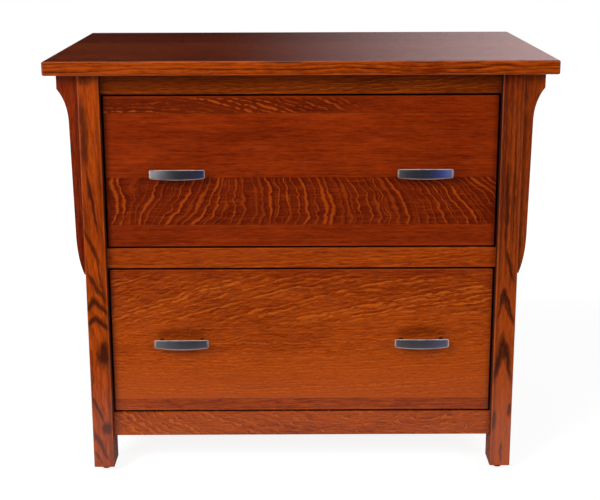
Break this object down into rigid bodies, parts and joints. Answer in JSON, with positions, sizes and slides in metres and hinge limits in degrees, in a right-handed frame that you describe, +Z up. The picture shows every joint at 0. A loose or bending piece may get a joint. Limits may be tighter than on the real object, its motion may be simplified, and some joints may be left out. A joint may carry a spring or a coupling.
{
  "type": "lateral filing cabinet",
  "caption": "Lateral filing cabinet in stained oak: posts with side corbels, an overhanging top, and inset drawers with bowed pulls on telescopic slides for hanging folders.",
  "frame": {"origin": "on the floor, under the middle of the top slab", "axes": "+X to the viewer's right, along the width; +Y to the back; +Z up"},
  "size_m": [0.914, 0.584, 0.792],
  "materials": {
    "stained_oak": "red-brown stain under satin lacquer, quarter-sawn figure",
    "drawer_box_wood": "clear satin lacquer",
    "plywood": "thin clear lacquer",
    "pull_metal": "gunmetal plate, bright where the edges are rubbed",
    "slide_steel": "bright zinc plate",
    "folder_bar_steel": "zinc plate",
    "glide": "dark nylon"
  },
  "bodies": {
    "case": {"top": "stained_oak", "bottom_front_rail": "stained_oak", "middle_front_rail": "stained_oak", "top_front_rail": "stained_oak", "left_lower_side_rail": "stained_oak", "right_lower_side_rail": "stained_oak", "left_upper_side_rail": "stained_oak", "right_upper_side_rail": "stained_oak", "left_side_panel": "stained_oak", "right_side_panel": "stained_oak", "back_lower_rail": "stained_oak", "back_upper_rail": "stained_oak", "front_left_post": "stained_oak", "front_right_post": "stained_oak", "rear_left_post": "stained_oak", "rear_right_post": "stained_oak", "front_left_corbel": "stained_oak", "front_right_corbel": "stained_oak", "rear_left_corbel": "stained_oak", "rear_right_corbel": "stained_oak", "back_panel": "plywood", "left_slide_board": "plywood", "right_slide_board": "plywood", "front_left_glide": "glide", "front_right_glide": "glide", "rear_left_glide": "glide", "rear_right_glide": "glide", "lower_left_cabinet_slide": "slide_steel", "lower_right_cabinet_slide": "slide_steel", "upper_left_cabinet_slide": "slide_steel", "upper_right_cabinet_slide": "slide_steel"},
    "lower_drawer": {"lower_drawer_front": "stained_oak", "lower_box_left_side": "drawer_box_wood", "lower_box_right_side": "drawer_box_wood", "lower_box_front": "drawer_box_wood", "lower_box_back": "drawer_box_wood", "lower_box_bottom": "plywood", "lower_left_pull": "pull_metal", "lower_right_pull": "pull_metal", "lower_front_folder_bar": "folder_bar_steel", "lower_rear_folder_bar": "folder_bar_steel", "lower_left_drawer_slide": "slide_steel", "lower_right_drawer_slide": "slide_steel"},
    "lower_slide_middles": {"lower_left_middle_slide": "slide_steel", "lower_right_middle_slide": "slide_steel"},
    "upper_drawer": {"upper_drawer_front": "stained_oak", "upper_box_left_side": "drawer_box_wood", "upper_box_right_side": "drawer_box_wood", "upper_box_front": "drawer_box_wood", "upper_box_back": "drawer_box_wood", "upper_box_bottom": "plywood", "upper_left_pull": "pull_metal", "upper_right_pull": "pull_metal", "upper_front_folder_bar": "folder_bar_steel", "upper_rear_folder_bar": "folder_bar_steel", "upper_left_drawer_slide": "slide_steel", "upper_right_drawer_slide": "slide_steel"},
    "upper_slide_middles": {"upper_left_middle_slide": "slide_steel", "upper_right_middle_slide": "slide_steel"}
  },
  "joints": [
    {"name": "lower_drawer_slide", "type": "slide", "parent": "case", "child": "lower_drawer", "axis": [0, -1, 0], "range_m": [0, 0.43]},
    {"name": "lower_middle_slide", "type": "slide", "parent": "case", "child": "lower_slide_middles", "axis": [0, -1, 0], "range_m": [0, 0.215]},
    {"name": "upper_drawer_slide", "type": "slide", "parent": "case", "child": "upper_drawer", "axis": [0, -1, 0], "range_m": [0, 0.43]},
    {"name": "upper_middle_slide", "type": "slide", "parent": "case", "child": "upper_slide_middles", "axis": [0, -1, 0], "range_m": [0, 0.215]}
  ],
  "couplings": [
    {"joint": "lower_middle_slide", "follows": "lower_drawer_slide", "ratio": 0.5},
    {"joint": "upper_middle_slide", "follows": "upper_drawer_slide", "ratio": 0.5}
  ]
}
